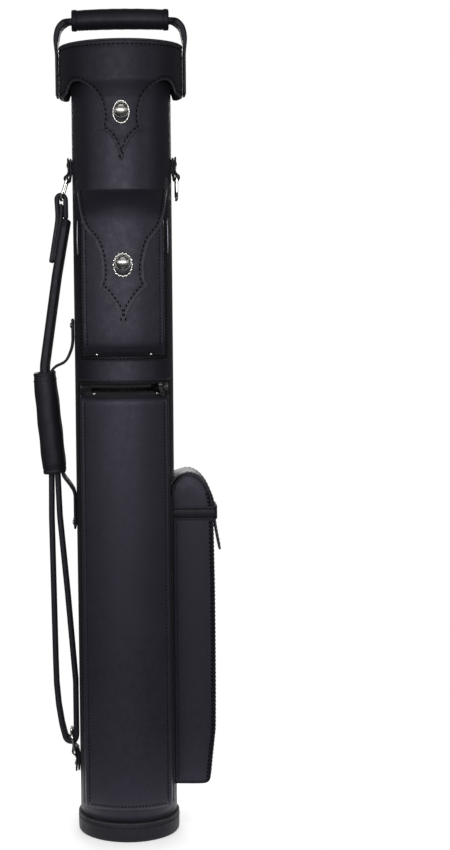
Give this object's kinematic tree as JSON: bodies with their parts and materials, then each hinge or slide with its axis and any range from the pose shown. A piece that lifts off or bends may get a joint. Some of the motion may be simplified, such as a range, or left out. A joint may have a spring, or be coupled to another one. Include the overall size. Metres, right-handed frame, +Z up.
{
  "type": "cue case",
  "caption": "Upright leather tube case for billiard cues, with a hinged locking lid, front and side pockets, carry handles and a shoulder strap.",
  "frame": {"origin": "centre of the base's underside", "axes": "+Z up along the tube, -Y the front with the pockets and locks, +X towards the side pocket"},
  "size_m": [0.1966, 0.1463, 0.8882],
  "materials": {
    "leather": "satin grained",
    "edge_leather": "satin",
    "shell": "matte",
    "divider": "matte",
    "felt": "felt",
    "zip_tape": "woven",
    "nickel": "polished nickel",
    "spring": "satin"
  },
  "bodies": {
    "case": {"outer_shell": "shell", "leather_wrap": "leather", "mouth_binding": "edge_leather", "base_plug": "shell", "divider_top_plate": "felt", "divider_bottom_plate": "felt", "butt_tube_left": "divider", "butt_tube_right": "divider", "shaft_tube_1": "divider", "shaft_tube_2": "divider", "shaft_tube_3": "divider", "shaft_tube_4": "divider", "cue_end_pads": "felt", "base_cap": "leather", "base_cap_strip": "edge_leather", "spine_strip": "edge_leather", "lid_rear_tab": "leather", "rear_tab_rivets": "nickel", "lid_lock_stud": "nickel", "upper_pocket_body": "leather", "upper_pocket_flap_root": "leather", "flap_lock_stud": "nickel", "lower_pocket_body": "leather", "lower_pocket_zip_tape": "zip_tape", "lower_pocket_zip_teeth": "nickel", "pocket_corner_rivets": "nickel", "side_pocket_body": "leather", "side_pocket_belt": "edge_leather", "ring_tab_upper_left": "leather", "ring_tab_upper_right": "leather", "ring_tab_lower_left": "leather", "d_ring_upper_left": "nickel", "d_ring_lower_left": "nickel", "shoulder_strap_main": "leather", "shoulder_strap_top_tab": "leather", "shoulder_strap_lower_loop": "leather", "side_handle_grip": "leather", "side_handle_strap": "leather", "strap_rivets": "nickel"},
    "lid": {"lid_shell": "shell", "lid_lining": "felt", "lid_cover": "leather", "lid_top_disc": "leather", "lid_front_tab": "leather", "lid_lock_plate": "nickel", "lid_lock_spring": "spring", "top_handle_strap": "leather", "top_handle_grip": "leather", "top_handle_bands": "edge_leather"},
    "lid_button": {"lid_lock_button": "nickel"},
    "pocket_flap": {"upper_pocket_flap": "leather", "flap_lock_plate": "nickel", "flap_lock_spring": "spring"},
    "flap_button": {"flap_lock_button": "nickel"},
    "side_flap": {"side_pocket_flap": "leather"},
    "zip_slider": {"lower_pocket_zip_slider": "nickel"},
    "zip_pull": {"lower_pocket_zip_pull": "nickel"},
    "right_ring": {"d_ring_upper_right": "nickel"}
  },
  "joints": [
    {"name": "lid_hinge", "type": "hinge", "parent": "case", "child": "lid", "pos_m": [0, 0.0655, 0.808], "axis": [-1, 0, 0], "range_deg": [0, 160]},
    {"name": "lid_button_press", "type": "slide", "parent": "lid", "child": "lid_button", "axis": [0, 1, 0], "range_m": [0, 0.0008], "stiffness_N_per_m": 800, "springref_m": -0.0004},
    {"name": "pocket_flap_hinge", "type": "hinge", "parent": "case", "child": "pocket_flap", "pos_m": [0, -0.0674, 0.681], "axis": [-1, 0, 0], "range_deg": [0, 135]},
    {"name": "flap_button_press", "type": "slide", "parent": "pocket_flap", "child": "flap_button", "axis": [0, 1, 0], "range_m": [0, 0.0008], "stiffness_N_per_m": 800, "springref_m": -0.0004},
    {"name": "side_flap_pull", "type": "slide", "parent": "case", "child": "side_flap", "axis": [0, 0, 1], "range_m": [0, 0.052]},
    {"name": "zip_travel", "type": "hinge", "parent": "case", "child": "zip_slider", "pos_m": [0, 0, 0.486], "axis": [0, 0, -1], "range_deg": [0, 64]},
    {"name": "zip_pull_swing", "type": "hinge", "parent": "zip_slider", "child": "zip_pull", "pos_m": [0.03677, -0.05662, 0.4919], "axis": [-0.8387, -0.5446, 0], "range_deg": [0, 130]},
    {"name": "right_ring_swing", "type": "hinge", "parent": "case", "child": "right_ring", "pos_m": [0.0582, 0, 0.71], "axis": [0, -1, 0], "range_deg": [-5, 150]}
  ]
}
